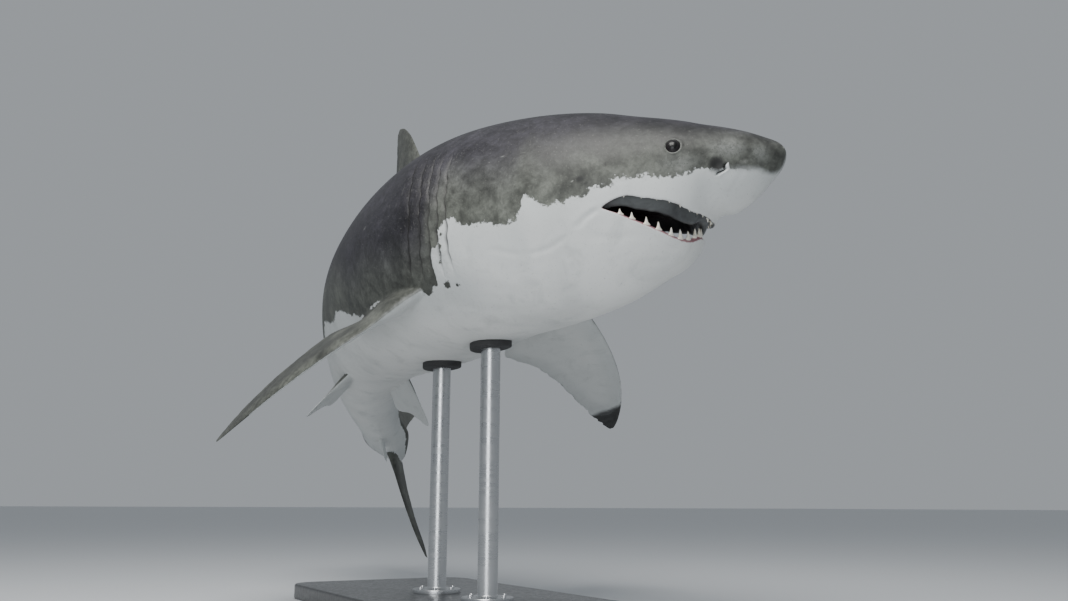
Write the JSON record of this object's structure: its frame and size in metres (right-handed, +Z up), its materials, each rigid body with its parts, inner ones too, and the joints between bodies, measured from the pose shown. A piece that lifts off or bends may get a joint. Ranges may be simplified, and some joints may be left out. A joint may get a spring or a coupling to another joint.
{
  "type": "great white shark model on a stand",
  "caption": "Life-size still model of a great white shark, turning and with its mouth parted, held over a flat base by two rods.",
  "frame": {"origin": "centre of the underside of the stand's base", "axes": "+X the way the trunk swims, +Y to the shark's left, +Z up"},
  "size_m": [4.1056, 1.8426, 2.1683],
  "materials": {
    "skin": "dark grey-brown back over a white belly, finely mottled, half matt",
    "eye": "wet black",
    "teeth": "glossy ivory white",
    "stand_base": "satin black lacquer",
    "stand_steel": "brushed along the rod",
    "stand_pad": "matt black"
  },
  "bodies": {
    "root": {"head": "skin", "lower_jaw": "skin", "eye_right": "eye", "eye_left": "eye", "gill_region": "skin", "trunk_front": "skin", "trunk_middle": "skin", "trunk_rear": "skin", "tail_stalk": "skin", "pectoral_fin_right": "skin", "pectoral_fin_left": "skin", "pelvic_fin_right": "skin", "pelvic_fin_left": "skin", "first_dorsal_fin": "skin", "second_dorsal_fin": "skin", "anal_fin": "skin", "tail_fin_upper_lobe": "skin", "tail_fin_lower_lobe": "skin", "stand_base": "stand_base", "stand_rod_front": "stand_steel", "stand_saddle_front": "stand_pad", "stand_rod_rear": "stand_steel", "stand_saddle_rear": "stand_pad"}
  },
  "joints": []
}
